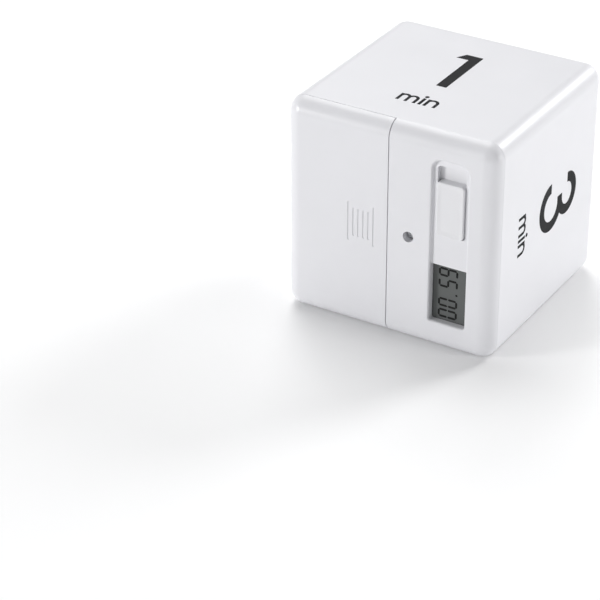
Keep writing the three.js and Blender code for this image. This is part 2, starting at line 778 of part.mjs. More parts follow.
add('buzzer_case', buzzerCase(), 'blackPlastic');
add('buzzer_disc', barY(
  buzzerRadius - buzzerWall - clearance, buzzerX, 0, buzzerDiscFront, buzzerDiscFront + foilThickness, 36,
), 'brass');
add('buzzer_ceramic', barY(
  ceramicRadius, buzzerX, 0, buzzerDiscFront - clearance - foilThickness, buzzerDiscFront - clearance, 28,
), 'ceramic');

add('battery_box', batteryBox(), 'blackPlastic');
[-1, 1].forEach((end, i) => add(`box_screw_${i + 1}`, boxScrew(end), 'steel'));
add('battery_1', cell(cellCentresX[0], -1), 'cellWrap');
add('battery_2', cell(cellCentresX[1], 1), 'cellWrap');
add('contact_spring_1', wire(new SpringCurve(cellCentresX[0], 1, 0.35), 0.35, 56, 3), 'springSteel');
add('contact_spring_2', wire(new SpringCurve(cellCentresX[1], -1, 0.35), 0.35, 56, 3), 'springSteel');
add('negative_contact', contactPlate(cellCentresX[0] - 4.2, cellCentresX[0] + 4.2, 1), 'springSteel');
add('positive_contact', contactPlate(cellCentresX[1] - 4.2, cellCentresX[1] + 4.2, 1), 'springSteel');
add('link_contact', contactPlate(cellCentresX[0] - 4.2, cellCentresX[1] + 4.2, -1), 'springSteel');

const leadStart = boardBack + 0.3;
const boxNotchZ = cellHalfRoom - 7;
const boxTopZ = boxHalfHeight + 1.3;
add('battery_lead_red', lead([
  [13.5, leadStart, 11.4], [13.5, leadStart + 2.5, 11.4], [9, leadStart + 7, 15],
  [1, boxFloorFront - 1, boxNotchZ], [boxRight + 0.8, boxFloorFront - 1.7, boxNotchZ],
]), 'redInsulation');
add('battery_lead_black', lead([
  [13.5, leadStart, 9.4], [13.5, leadStart + 3.5, 9.6],
  [8, leadStart + 9, 16], [0, boxFloorFront + 1, boxTopZ],
  [boxMiddleX + 4, boxFloorFront - 1, boxTopZ], [boxMiddleX - 1.6, boxFloorFront - 2, boxTopZ],
  [boxMiddleX - 2.4, boxFloorFront - 2.2, boxHalfHeight + 0.3],
]), 'blackInsulation');
add('buzzer_lead_red', lead([
  [24, leadStart, 1], [24, leadStart + 4, 1], [22, 5, 4], [16, 20, 4], [14, buzzerDiscFront - 1.2, 3],
]), 'redInsulation');
add('buzzer_lead_black', lead([
  [24, leadStart, -2], [24, leadStart + 4, -2], [23, 5, -4], [21, 20, -4], [20.5, buzzerDiscFront - 0.4, -3],
]), 'blackInsulation');

timer.position.z = half;
timer.updateMatrixWorld(true);

export default timer;
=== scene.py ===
"""A white cube kitchen timer: fine surfaces, materials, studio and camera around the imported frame.

Shapes are built in millimetres from the centre of the cube, +Z up, and place() turns them into the
frame's metres, with the origin at the centre of the face that the cube stands on.
"""

import json
import math

import bmesh
import bpy
from mathutils import Matrix, Vector


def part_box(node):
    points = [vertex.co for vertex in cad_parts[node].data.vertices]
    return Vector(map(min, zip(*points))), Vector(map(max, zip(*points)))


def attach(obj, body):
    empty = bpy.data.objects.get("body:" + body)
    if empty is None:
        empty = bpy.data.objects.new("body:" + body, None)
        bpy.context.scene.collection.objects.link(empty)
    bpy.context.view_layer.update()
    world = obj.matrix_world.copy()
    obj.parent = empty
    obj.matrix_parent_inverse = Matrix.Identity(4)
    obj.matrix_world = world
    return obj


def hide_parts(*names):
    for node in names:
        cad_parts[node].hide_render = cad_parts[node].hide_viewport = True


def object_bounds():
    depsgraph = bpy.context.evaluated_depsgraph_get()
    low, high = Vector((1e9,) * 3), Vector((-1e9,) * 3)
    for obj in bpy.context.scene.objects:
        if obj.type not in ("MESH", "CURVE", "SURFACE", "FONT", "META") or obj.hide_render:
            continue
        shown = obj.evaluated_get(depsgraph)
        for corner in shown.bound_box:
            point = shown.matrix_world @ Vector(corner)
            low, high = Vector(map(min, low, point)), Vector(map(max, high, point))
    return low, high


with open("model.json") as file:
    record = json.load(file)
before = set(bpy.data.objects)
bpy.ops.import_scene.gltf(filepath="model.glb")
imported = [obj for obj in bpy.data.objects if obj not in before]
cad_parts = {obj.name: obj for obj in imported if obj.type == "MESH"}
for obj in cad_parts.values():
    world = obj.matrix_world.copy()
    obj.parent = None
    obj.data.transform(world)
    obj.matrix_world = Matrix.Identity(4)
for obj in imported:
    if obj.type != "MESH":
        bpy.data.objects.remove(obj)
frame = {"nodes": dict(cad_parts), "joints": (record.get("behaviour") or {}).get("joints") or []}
cad_low, cad_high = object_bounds()

MM = 0.001
SIDE = (cad_high.x - cad_low.x) / MM
HALF = SIDE / 2
JOINTS = {joint["name"]: joint for joint in frame["joints"]}


def node_box(*nodes):
    """The corners of a CAD node, or of several together, in millimetres from the cube's centre."""
    boxes = [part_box(node) for node in nodes]
    low = Vector([min(box[0][i] for box in boxes) for i in range(3)]) / MM
    high = Vector([max(box[1][i] for box in boxes) for i in range(3)]) / MM
    lift = Vector((0, 0, HALF))
    return low - lift, high - lift


def middle(node):
    """The middle of a CAD node's box."""
    low, high = node_box(node)
    return (low + high) / 2


# ---------------------------------------------- sizes, in millimetres

INK = 0.015                 # printed marks stand this far proud of the plastic
EDGE_RADIUS = 4.6
WALL = 2.2
INNER_RADIUS = 2.4
LID_PLATE = 2.4
FIXED_GAP = 0.1             # front panel to shell
SLIDING_GAP = 0.12          # battery cover to shell
SEAM_GAP = 0.25             # battery cover to front panel
HAIRLINE = 0.03             # what shows of the gap between front panel and shell
SOFT_EDGE = 0.08            # radius on the moulded parts' sharp edges
SINK = 0.2                  # how far an added feature reaches into what carries it

FRONT = -HALF
INNER = HALF - WALL
PARTING = node_box("main_shell")[0].y - FIXED_GAP / 2
PLATE_BACK = FRONT + LID_PLATE

GLASS_SEAT = FRONT + 2.2
GLASS_MARGIN = 1
GLASS_CLEARANCE = 0.15
POCKET_WALL = 1
glass_low, glass_high = node_box("display_glass")
WINDOW_LEFT = glass_low.x + GLASS_MARGIN
WINDOW_RIGHT = glass_high.x - GLASS_MARGIN
WINDOW_BOTTOM = glass_low.z + GLASS_MARGIN
WINDOW_TOP = glass_high.z - GLASS_MARGIN

KNOB_SIDE_GAP = 0.13
KNOB_END_GAP = 0.3
KNOB_RADIUS = 1
DUST_OVERLAP = 0.9
DUST_END = 0.6
DUST_PLATE = 0.8
KNOB_TRAVEL = JOINTS["switch_slide"]["range_m"][1] / MM
knob_low, knob_high = node_box("switch_knob")
KNOB_CENTRE_X = (knob_low.x + knob_high.x) / 2
SLOT_HALF_WIDTH = (knob_high.x - knob_low.x) / 2 - DUST_OVERLAP
SLOT_BOTTOM = knob_low.z + KNOB_TRAVEL + DUST_END
SLOT_TOP = knob_high.z - DUST_END
KNOB_HALF_WIDTH = SLOT_HALF_WIDTH - KNOB_SIDE_GAP
KNOB_BOTTOM = SLOT_BOTTOM + KNOB_END_GAP
KNOB_TOP = SLOT_TOP - KNOB_END_GAP - KNOB_TRAVEL

RECESS_DEPTH = 1.05
RECESS_FLOOR = 1.4
RECESS_TOP_RADIUS = 3
RECESS_BOTTOM_RADIUS = 0.6
RECESS_TOP = SLOT_TOP + 2
FLOOR_FRONT = FRONT + RECESS_DEPTH
FLOOR_BACK = FLOOR_FRONT + RECESS_FLOOR
DUST_FRONT = FLOOR_BACK + 0.1

screw_low, screw_high = node_box("panel_screw")
SCREW_X = (screw_low.x + screw_high.x) / 2
SCREW_HEAD_HEIGHT = 1.2
COUNTERBORE_RADIUS = 1.55
PANEL_BOSS_RADIUS = 3.2
PANEL_BOSS_DEPTH = 4.8
board_low, board_high = node_box("circuit_board")

box_low, box_high = node_box("battery_box")
TRAY_WALL = 1.2
TRAY_FLOOR = 1.6
TRAY_FLANGE = 1.2
RAIL_THICKNESS = 0.9
RAIL_INNER = box_high.z + 0.2
RAIL_FOOT = box_low.y + TRAY_FLANGE + 0.2

GRIP_COUNT = 6
GRIP_PITCH = 1.55
GRIP_FIRST_X = -4.2
GRIP_WIDTH = 0.5
GRIP_DEPTH = 0.2
GRIP_OUTER_LENGTH = 11.8
GRIP_INNER_LENGTH = 8.4


# ---------------------------------------------- mesh tools

def as_object(name, mesh):
    """A mesh as an object in the scene."""
    piece = bpy.data.objects.new(name, mesh)
    bpy.context.scene.collection.objects.link(piece)
    return piece


def from_bmesh(shape, name="tool"):
    """A finished bmesh as an object."""
    bmesh.ops.recalc_face_normals(shape, faces=shape.faces[:])
    mesh = bpy.data.meshes.new(name)
    shape.to_mesh(mesh)
    shape.free()
    return as_object(name, mesh)


def block(low, high):
    """A box between two corners."""
    low, high = Vector(low), Vector(high)
    shape = bmesh.new()
    bmesh.ops.create_cube(shape, size=1, matrix=Matrix.Translation((low + high) / 2) @ Matrix.Diagonal(
        (*(high - low), 1)))
    return from_bmesh(shape)


def rounded_box(low, high, radius, segments):
    """A box with every edge rounded."""
    piece = block(low, high)
    shape = bmesh.new()
    shape.from_mesh(piece.data)
    bmesh.ops.bevel(shape, geom=shape.verts[:] + shape.edges[:], offset=radius, offset_type="OFFSET",
                    segments=segments, profile=0.5, affect="EDGES")
    shape.to_mesh(piece.data)
    shape.free()
    return piece


def cube_outside():
    """The whole cube's outside, with room left for the printed marks."""
    reach = HALF - INK
    return rounded_box((-reach,) * 3, (reach,) * 3, EDGE_RADIUS, 14)


def arc(centre_u, centre_v, radius_u, radius_v, start, end, steps=24):
    """Points on an ellipse from one angle to another, in degrees, both ends included."""
    angles = [math.radians(start + (end - start) * i / steps) for i in range(steps + 1)]
    return [(centre_u + radius_u * math.cos(a), centre_v + radius_v * math.sin(a)) for a in angles]


def rounded_outline(left, right, bottom, top, low_radius, high_radius, steps=8):
    """A rectangle whose lower and upper corners have their own radii."""
    corners = [
        (left + low_radius, bottom + low_radius, low_radius, 180),
        (right - low_radius, bottom + low_radius, low_radius, 270),
        (right - high_radius, top - high_radius, high_radius, 0),
        (left + high_radius, top - high_radius, high_radius, 90),
    ]
    outline = []
    for u, v, radius, start in corners:
        outline += arc(u, v, radius, radius, start, start + 90, steps)
    return outline


def rounded_rings(left, right, bottom, top, low_radius, high_radius, sections, steps=8):
    """A solid through rounded rectangles: each section is a place along Y and how far it is grown."""
    shape = bmesh.new()
    rings = []
    least = 0.01
    for y, grown in sections:
        outline = rounded_outline(
            left - grown, right + grown, bottom - grown, top + grown,
            max(low_radius + grown, least), max(high_radius + grown, least), steps)
        rings.append([shape.verts.new((u, y, v)) for u, v in outline])
    shape.faces.new(rings[0])
    shape.faces.new(rings[-1][::-1])
    for near, far in zip(rings, rings[1:]):
        for i, vertex in enumerate(near):
            after = (i + 1) % len(near)
            shape.faces.new((vertex, far[i], far[after], near[after]))
    return from_bmesh(shape)


def quarter(y, grown, radius, kind, steps=4):
    """Sections along a quarter circle: a mouth flares out, a root closes in, an edge rounds over."""
    turns = [math.radians(90) * i / steps for i in range(steps + 1)]
    if kind == "mouth":
        return [(y + radius * (1 - math.cos(t)), grown + radius * (1 - math.sin(t))) for t in turns]
    if kind == "root":
        return [(y - radius * (1 - math.sin(t)), grown - radius * (1 - math.cos(t))) for t in turns]
    return [(y + radius * (1 - math.sin(t)), grown - radius * (1 - math.cos(t))) for t in turns][::-1]


def pocket_cutter(left, right, bottom, top, low_radius, high_radius, near, far, lip=0, root=0, steps=8):
    """What cuts a pocket into a face at near, with a rounded lip and a rounded root."""
    sections = [(near - 1, lip)]
    sections += quarter(near, 0, lip, "mouth") if lip else []
    sections += quarter(far, 0, root, "root") if root else [(far, 0)]
    return rounded_rings(left, right, bottom, top, low_radius, high_radius, sections, steps)


def turned(profile, segments=48):
    """A turned shape about Z: the profile is a list of (radius, z), closed on the axis at both ends."""
    shape = bmesh.new()
    rings = []
    for radius, z in profile:
        if radius == 0:
            rings.append([shape.verts.new((0, 0, z))] * segments)
            continue
        turns = [2 * math.pi * i / segments for i in range(segments)]
        rings.append([shape.verts.new((radius * math.cos(t), radius * math.sin(t), z)) for t in turns])
    for first, second in zip(rings, rings[1:]):
        for i in range(segments):
            after = (i + 1) % segments
            corners = [first[i], second[i], second[after], first[after]]
            unique = [corner for n, corner in enumerate(corners) if corner not in corners[:n]]
            if len(unique) > 2:
                shape.faces.new(unique)
    return from_bmesh(shape)


def along(piece, direction, centre=(0, 0, 0)):
    """Turns a piece's own Z axis to a direction and moves its origin to a point."""
    turn = Vector((0, 0, 1)).rotation_difference(Vector(direction)).to_matrix().to_4x4()
    piece.data.transform(Matrix.Translation(centre) @ turn)
    return piece


def rod(radius, x, z, near, far, segments=32):
    """A round bar along Y."""
    length = far - near
    bar = turned([(0, 0), (radius, 0), (radius, length), (0, length)], segments)
    return along(bar, (0, 1, 0), (x, near, z))


def apply_modifiers(piece):
    """The piece with its modifiers applied to its mesh."""
    graph = bpy.context.evaluated_depsgraph_get()
    mesh = bpy.data.meshes.new_from_object(
        piece.evaluated_get(graph), preserve_all_data_layers=True, depsgraph=graph)
    piece.modifiers.clear()
    old = piece.data
    piece.data = mesh
    bpy.data.meshes.remove(old)
    return piece


def boolean(piece, tools, operation):
    """The piece joined with, cut by, or kept inside the tools, which are used up."""
    group = bpy.data.collections.new("boolean_tools")
    for tool in tools:
        group.objects.link(tool)
    step = piece.modifiers.new("boolean", "BOOLEAN")
    step.operation = operation
    step.solver = "EXACT"
    step.operand_type = "COLLECTION"
    step.collection = group
    apply_modifiers(piece)
    for tool in tools:
        mesh = tool.data
        bpy.data.objects.remove(tool)
        bpy.data.meshes.remove(mesh)
    bpy.data.collections.remove(group)
    return piece


def cut(piece, *tools):
    """The piece without the tools."""
    return boolean(piece, tools, "DIFFERENCE")


def joined(piece, *others):
    """The piece and the others as one."""
    return boolean(piece, others, "UNION")


def inside(piece, *others):
    """What the piece shares with the others."""
    return boolean(piece, others, "INTERSECT")


def flat_regions(shape):
    """The area of the flat region that each face belongs to, by face index."""
    flat = math.radians(0.05)
    areas = {}
    for seed in shape.faces:
        if seed.index in areas:
            continue
        region, waiting = {seed}, [seed]
        while waiting:
            face = waiting.pop()
            for edge in face.edges:
                for other in edge.link_faces:
                    if other not in region and other.normal.angle(seed.normal, math.pi) < flat:
                        region.add(other)
                        waiting.append(other)
        area = sum(face.calc_area() for face in region)
        areas.update((face.index, area) for face in region)
    return areas


def smooth(piece):
    """Smooth shading that breaks at sharp edges and keeps flat faces flat up to their rounded edges."""
    limit = math.cos(math.radians(38))
    mesh = piece.data
    mesh.shade_smooth()
    shape = bmesh.new()
    shape.from_mesh(mesh)
    areas = flat_regions(shape)
    normals = []
    for face in shape.faces:
        for corner in face.loops:
            total = Vector()
            for other in corner.vert.link_faces:
                if other.normal.dot(face.normal) > limit:
                    total += other.normal * areas[other.index] ** 2
            normals.append(total.normalized() if total.length > 0 else face.normal.copy())
    shape.free()
    mesh.normals_split_custom_set(normals)
    return piece


def merge_close(shape):
    """Merges points that lie on each other."""
    bmesh.ops.remove_doubles(shape, verts=shape.verts[:], dist=0.002)


def soften(piece, width=SOFT_EDGE):
    """Rounds the sharp edges of a piece without holes or inside corners."""
    shape = bmesh.new()
    shape.from_mesh(piece.data)
    merge_close(shape)
    bmesh.ops.dissolve_limit(
        shape, angle_limit=math.radians(0.4), verts=shape.verts[:], edges=shape.edges[:])
    shape.to_mesh(piece.data)
    shape.free()
    step = piece.modifiers.new("edges", "BEVEL")
    step.width = width
    step.segments = 3
    step.limit_method = "ANGLE"
    step.angle_limit = math.radians(35)
    step.use_clamp_overlap = False
    return apply_modifiers(piece)


def swept(points, radius):
    """A round wire of even thickness through points, with flat ends."""
    curve = bpy.data.curves.new("wire", "CURVE")
    curve.dimensions = "3D"
    curve.bevel_depth = radius
    curve.bevel_resolution = 3
    curve.resolution_u = 8
    curve.use_fill_caps = True
    spline = curve.splines.new("BEZIER")
    spline.bezier_points.add(len(points) - 1)
    for knot, point in zip(spline.bezier_points, points):
        knot.co = point
        knot.handle_left_type = "AUTO"
        knot.handle_right_type = "AUTO"
    return curve_as_mesh(curve)


def curve_as_mesh(curve):
    """A curve turned into a mesh object with its shared points merged; the curve is used up."""
    temporary = as_object("curve", curve)
    graph = bpy.context.evaluated_depsgraph_get()
    mesh = bpy.data.meshes.new_from_object(temporary.evaluated_get(graph), depsgraph=graph)
    bpy.data.objects.remove(temporary)
    bpy.data.curves.remove(curve)
    shape = bmesh.new()
    shape.from_mesh(mesh)
    bmesh.ops.remove_doubles(shape, verts=shape.verts[:], dist=0.001)
    bpy.data.meshes.remove(mesh)
    return from_bmesh(shape)


def paint(piece, choose):
    """Gives each face the number of its material, chosen from the face's middle."""
    for face in piece.data.polygons:
        face.material_index = choose(face.center)
    return piece


def place(piece, name, body, material, nodes=()):
    """Turns a finished piece into the frame's metres, gives it its name, body and finish, and hides the CAD
    nodes it replaces.
    """
    piece.data.transform(Matrix.Diagonal((MM, MM, MM, 1)) @ Matrix.Translation((0, 0, HALF)))
    piece.name = name
    piece.data.name = name
    chosen = [face.material_index for face in piece.data.polygons]
    piece.data.materials.clear()
    for finish in material if isinstance(material, list) else [material]:
        piece.data.materials.append(finish)
    piece.data.polygons.foreach_set("material_index", chosen)
    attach(piece, body)
    if nodes:
        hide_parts(*nodes)
    return piece


def refined(node, name, material, edge=0.0, body="case"):
    """A CAD node's own shape, with rounded edges where it is a plain block and clean shading."""
    mesh = frame["nodes"][node].data.copy()
    mesh.transform(Matrix.Translation((0, 0, -HALF)) @ Matrix.Diagonal((1 / MM, 1 / MM, 1 / MM, 1)))
    if "custom_normal" in mesh.attributes:
        mesh.attributes.remove(mesh.attributes["custom_normal"])
    piece = as_object(name, mesh)
    shape = bmesh.new()
    shape.from_mesh(mesh)
    merge_close(shape)
    shape.to_mesh(mesh)
    shape.free()
    if edge:
        soften(piece, edge)
    return place(smooth(piece), name, body, material, [node])


# ---------------------------------------------- materials

class Finish:
    """A procedural material: a Principled shader whose colour, roughness and bump come from noise."""

    def __init__(self, name, colour, roughness, metallic=0.0, **sockets):
        self.material = bpy.data.materials.new(name)
        self.material.use_nodes = True
        self.material.diffuse_color = (*colour, 1)
        self.nodes = self.material.node_tree.nodes
        self.links = self.material.node_tree.links
        self.shader = self.nodes["Principled BSDF"]
        self.shader.inputs["Base Color"].default_value = (*colour, 1)
        self.shader.inputs["Roughness"].default_value = roughness
        self.shader.inputs["Metallic"].default_value = metallic
        for socket, value in sockets.items():
            self.shader.inputs[socket.replace("_", " ")].default_value = value
        self.colour = colour
        self.roughness = roughness
        self.place = self.nodes.new("ShaderNodeTexCoord")
        self.height = None

    def noise(self, size_mm, detail=3, stretch=(1, 1, 1)):
        """A noise pattern whose blobs are about size_mm across."""
        scale = self.nodes.new("ShaderNodeMapping")
        scale.inputs["Scale"].default_value = [1000 / (size_mm * s) for s in stretch]
        self.links.new(self.place.outputs["Object"], scale.inputs["Vector"])
        noise = self.nodes.new("ShaderNodeTexNoise")
        noise.inputs["Scale"].default_value = 1
        noise.inputs["Detail"].default_value = detail
        self.links.new(scale.outputs["Vector"], noise.inputs["Vector"])
        return noise.outputs["Fac"]

    def mottle(self, size_mm, spread):
        """Colour that varies by spread, up and down, over patches of about size_mm."""
        ramp = self.nodes.new("ShaderNodeValToRGB")
        ramp.color_ramp.elements[0].position = 0.3
        ramp.color_ramp.elements[1].position = 0.7
        ramp.color_ramp.elements[0].color = (*[c * (1 - spread) for c in self.colour], 1)
        ramp.color_ramp.elements[1].color = (*[min(1, c * (1 + spread)) for c in self.colour], 1)
        self.links.new(self.noise(size_mm), ramp.inputs["Fac"])
        self.links.new(ramp.outputs["Color"], self.shader.inputs["Base Color"])
        return self

    def sheen_patches(self, size_mm, spread, stretch=(1, 1, 1)):
        """Roughness that varies by spread over patches of about size_mm."""
        span = self.nodes.new("ShaderNodeMapRange")
        span.inputs["From Min"].default_value = 0.3
        span.inputs["From Max"].default_value = 0.7
        span.inputs["To Min"].default_value = self.roughness - spread
        span.inputs["To Max"].default_value = self.roughness + spread
        self.links.new(self.noise(size_mm, 4, stretch), span.inputs["Value"])
        self.links.new(span.outputs["Result"], self.shader.inputs["Roughness"])
        return self

    def grain(self, size_mm, depth_mm, detail=2, stretch=(1, 1, 1)):
        """A bump of depth_mm over grains of about size_mm."""
        bump = self.nodes.new("ShaderNodeBump")
        bump.inputs["Distance"].default_value = depth_mm * MM
        bump.inputs["Strength"].default_value = 1
        self.links.new(self.noise(size_mm, detail, stretch), bump.inputs["Height"])
        if self.height is not None:
            self.links.new(self.height.outputs["Normal"], bump.inputs["Normal"])
        self.links.new(bump.outputs["Normal"], self.shader.inputs["Normal"])
        self.height = bump
        return self


def moulded(name, colour, roughness, grain_mm=0.14, depth_mm=0.0012, spread=0.012, index=1.5):
    """A moulded plastic with a fine spark-eroded texture and faint handling marks."""
    finish = Finish(name, colour, roughness, IOR=index)
    finish.mottle(26, spread).sheen_patches(9, 0.05).grain(grain_mm, depth_mm).grain(14, 0.012, detail=1)
    return finish.material


def metal(name, colour, roughness, stretch=(1, 1, 1), grain_mm=0.25, depth_mm=0.0015):
    """Bare or plated metal with fine drawing or rolling marks along one direction."""
    finish = Finish(name, colour, roughness, metallic=1.0)
    finish.mottle(3, 0.06).sheen_patches(1.5, 0.08, stretch=stretch)
    finish.grain(grain_mm, depth_mm, stretch=stretch)
    return finish.material


def glossy(name, colour, roughness, spread=0.03, grain_mm=1.2, depth_mm=0.004, index=1.5):
    """A smooth lacquered or cured surface with a slow waviness."""
    finish = Finish(name, colour, roughness, IOR=index)
    finish.mottle(4, spread).sheen_patches(2, 0.04).grain(grain_mm, depth_mm)
    return finish.material


ABS = moulded("case_abs", (0.75, 0.75, 0.775), 0.36)
KNOB_ABS = moulded("knob_abs", (0.755, 0.755, 0.775), 0.33, spread=0.008)
INK_BLACK = moulded("printed_ink", (0.016, 0.016, 0.018), 0.6, grain_mm=0.09, spread=0.08, index=1.22)
BLACK_PLASTIC = moulded("black_plastic", (0.022, 0.022, 0.024), 0.5, spread=0.06)
STEEL = metal("plated_steel", (0.76, 0.77, 0.78), 0.36)
SPRING_STEEL = metal("spring_steel", (0.72, 0.73, 0.74), 0.24, grain_mm=0.12)
SHEET_STEEL = metal("sheet_steel", (0.62, 0.63, 0.65), 0.34, stretch=(1, 1, 12))
BRASS = metal("brass", (0.78, 0.57, 0.22), 0.32)
PHENOLIC = moulded("phenolic", (0.30, 0.14, 0.05), 0.48, spread=0.12)
LCD_FACE = glossy("display_glass", (0.118, 0.124, 0.122), 0.22, spread=0.035, grain_mm=6, index=1.25)
# painted shade: a near-black colour for a frame that stands in for the shadow in the gap at the display
# window's edges
LCD_PAINTED_SHADE = glossy("display_painted_shade_frame", (0.045, 0.047, 0.047), 0.3, index=1.25)
LCD_DIGIT = glossy("display_segment", (0.006, 0.0062, 0.0062), 0.3, index=1.25)
FOIL = metal("reflector_foil", (0.72, 0.74, 0.70), 0.45, grain_mm=0.4)
RUBBER = moulded("contact_rubber", (0.045, 0.045, 0.048), 0.85, spread=0.08)
SOLDER_MASK = glossy("solder_mask", (0.02, 0.16, 0.05), 0.34, spread=0.12, grain_mm=0.8, depth_mm=0.01)
EPOXY = glossy("potting_epoxy", (0.012, 0.012, 0.013), 0.2, grain_mm=2.2, depth_mm=0.02)
CERAMIC = moulded("ceramic", (0.70, 0.68, 0.60), 0.62, spread=0.05)
CELL_WRAP = glossy("cell_wrap", (0.045, 0.13, 0.33), 0.24, spread=0.04, grain_mm=7, depth_mm=0.006)
CELL_BAND = glossy("cell_band", (0.62, 0.63, 0.65), 0.3, spread=0.04, grain_mm=7, depth_mm=0.006)
RED_PVC = moulded("red_insulation", (0.42, 0.02, 0.016), 0.42, grain_mm=0.3, spread=0.06)
BLACK_PVC = moulded("black_insulation", (0.02, 0.02, 0.021), 0.42, grain_mm=0.3, spread=0.08)


# ---------------------------------------------- case

def lid_inside():
    """The space behind a display-side panel's plate."""
    return block((-INNER, PLATE_BACK, -INNER), (INNER, HALF, INNER))


def case_shell():
    """Five sides of the cube, with the posts that carry the battery tray."""
    post_radius, post_bore, bore_depth = 2.75, 1.22, 12
    rib_half_thickness, rib_half_width, rib_start = 0.7, 7, 8
    mouth_back = PARTING + INNER_RADIUS + 3
    shell = inside(cube_outside(), block((-SIDE, PARTING + HAIRLINE / 2, -SIDE), (SIDE, SIDE, SIDE)))
    soften(shell, HAIRLINE)
    cut(
        shell,
        rounded_box((-INNER,) * 3, (INNER,) * 3, INNER_RADIUS, 6),
        rounded_rings(-INNER, INNER, -INNER, INNER, INNER_RADIUS, INNER_RADIUS, [
            (FRONT - 1, 0), (mouth_back, 0)]),
    )
    room, side_room = 0.3, 0.15
    notch_back = RAIL_FOOT + RAIL_THICKNESS + room
    notch_inner = RAIL_INNER - RAIL_THICKNESS - side_room
    notch_outer = RAIL_INNER + RAIL_THICKNESS + room
    for end in (-1, 1):
        notch = sorted((end * notch_inner, end * notch_outer))
        cut(shell, block((-SIDE, PARTING - 1, notch[0]), (0.5 - INNER, notch_back, notch[1])))
    posts, bores, ribs = [], [], []
    for node in ("box_screw_1", "box_screw_2"):
        at = middle(node)
        posts.append(rod(post_radius, at.x, at.z, box_high.y + 0.1, INNER + 0.5))
        bores.append(rod(post_bore, at.x, at.z, box_high.y - 1, box_high.y + bore_depth))
        ribs.append(block(
            (at.x - rib_half_thickness, box_high.y + rib_start, at.z - rib_half_width),
            (at.x + rib_half_thickness, INNER + 0.5, at.z + rib_half_width)))
    joined(shell, *posts, *ribs)
    cut(shell, *bores)
    return place(smooth(shell), "case_shell", "case", ABS, ["main_shell"])


def display_panel():
    """The half of the lid that holds the display, the switch and the board."""
    panel = inside(cube_outside(), block(
        (SEAM_GAP / 2, -SIDE, -SIDE), (SIDE, PARTING - HAIRLINE / 2, SIDE)))
    soften(panel, HAIRLINE)
    cut(panel, lid_inside())

    outer = GLASS_MARGIN + POCKET_WALL
    ring = GLASS_CLEARANCE + POCKET_WALL
    additions = [
        block((WINDOW_LEFT - outer, PLATE_BACK - SINK, WINDOW_BOTTOM - outer),
              (WINDOW_RIGHT + outer, FLOOR_BACK, RECESS_TOP + 1)),
        block((glass_low.x - ring, PLATE_BACK - SINK, glass_low.z - ring),
              (glass_high.x + ring, glass_high.y, glass_high.z + ring)),
        rod(PANEL_BOSS_RADIUS, SCREW_X, 0, PLATE_BACK - SINK, FRONT + PANEL_BOSS_DEPTH, 40),
    ]
    guide = SLOT_HALF_WIDTH + DUST_OVERLAP + KNOB_SIDE_GAP
    guide_back = DUST_FRONT + DUST_PLATE + 0.6
    for way in (-1, 1):
        sides = sorted((KNOB_CENTRE_X + way * guide, KNOB_CENTRE_X + way * (guide + 1)))
        additions.append(block(
            (sides[0], FLOOR_BACK - SINK, SLOT_BOTTOM - 1), (sides[1], guide_back, RECESS_TOP)))
    bores = []
    boss_radius, boss_bore = 1.6, 0.87
    for i in (1, 2, 3, 4):
        low, high = node_box(f"board_screw_{i}")
        at = middle(f"board_screw_{i}")
        additions.append(rod(boss_radius, at.x, at.z, PLATE_BACK - SINK, board_low.y - 0.1, 28))
        bores.append(rod(boss_bore, at.x, at.z, low.y - 0.6, high.y, 20))
    hook_x, hook_half, hook_z = INNER - 0.2, 4, 18
    hook_thickness, hook_end = 1.2, FRONT + 9.5
    for z in (-hook_z, hook_z):
        additions.append(block(
            (hook_x - hook_thickness, PLATE_BACK - SINK, z - hook_half), (hook_x, hook_end, z + hook_half)))
    joined(panel, *additions)

    recess = pocket_cutter(
        WINDOW_LEFT, WINDOW_RIGHT, WINDOW_BOTTOM, RECESS_TOP, RECESS_BOTTOM_RADIUS, RECESS_TOP_RADIUS,
        FRONT + INK, FLOOR_FRONT, lip=0.6, root=0.4, steps=12)
    pocket = block(
        (glass_low.x - GLASS_CLEARANCE, GLASS_SEAT, glass_low.z - GLASS_CLEARANCE),
        (glass_high.x + GLASS_CLEARANCE, HALF, glass_high.z + GLASS_CLEARANCE))
    window_inset = 0.02
    window = pocket_cutter(
        WINDOW_LEFT + window_inset, WINDOW_RIGHT - window_inset, WINDOW_BOTTOM + window_inset, WINDOW_TOP,
        RECESS_BOTTOM_RADIUS, 0.3, FLOOR_FRONT, GLASS_SEAT + 1, steps=5)
    lip = 0.12
    slot = pocket_cutter(
        KNOB_CENTRE_X - SLOT_HALF_WIDTH, KNOB_CENTRE_X + SLOT_HALF_WIDTH, SLOT_BOTTOM, SLOT_TOP,
        KNOB_RADIUS, KNOB_RADIUS, FLOOR_FRONT, FLOOR_BACK + 1, lip=lip)
    seat = screw_low.y + SCREW_HEAD_HEIGHT + 0.02 - FRONT
    mouth = [(COUNTERBORE_RADIUS + grown, y) for y, grown in quarter(INK, 0, lip, "mouth")]
    counterbore = turned(
        [(0, -1), (mouth[0][0], -1), *mouth, (COUNTERBORE_RADIUS, seat), (0, seat)], 56)
    along(counterbore, (0, 1, 0), (SCREW_X, FRONT, 0))
    hole_radius = 1.1
    screw_hole = rod(hole_radius, SCREW_X, 0, FRONT - 1, FRONT + PANEL_BOSS_DEPTH + 1, 24)
    for cutter in (recess, pocket, window, slot, counterbore, screw_hole):
        cut(panel, cutter)
    cut(panel, *bores)
    return place(smooth(panel), "display_panel", "case", ABS, ["front_panel"])


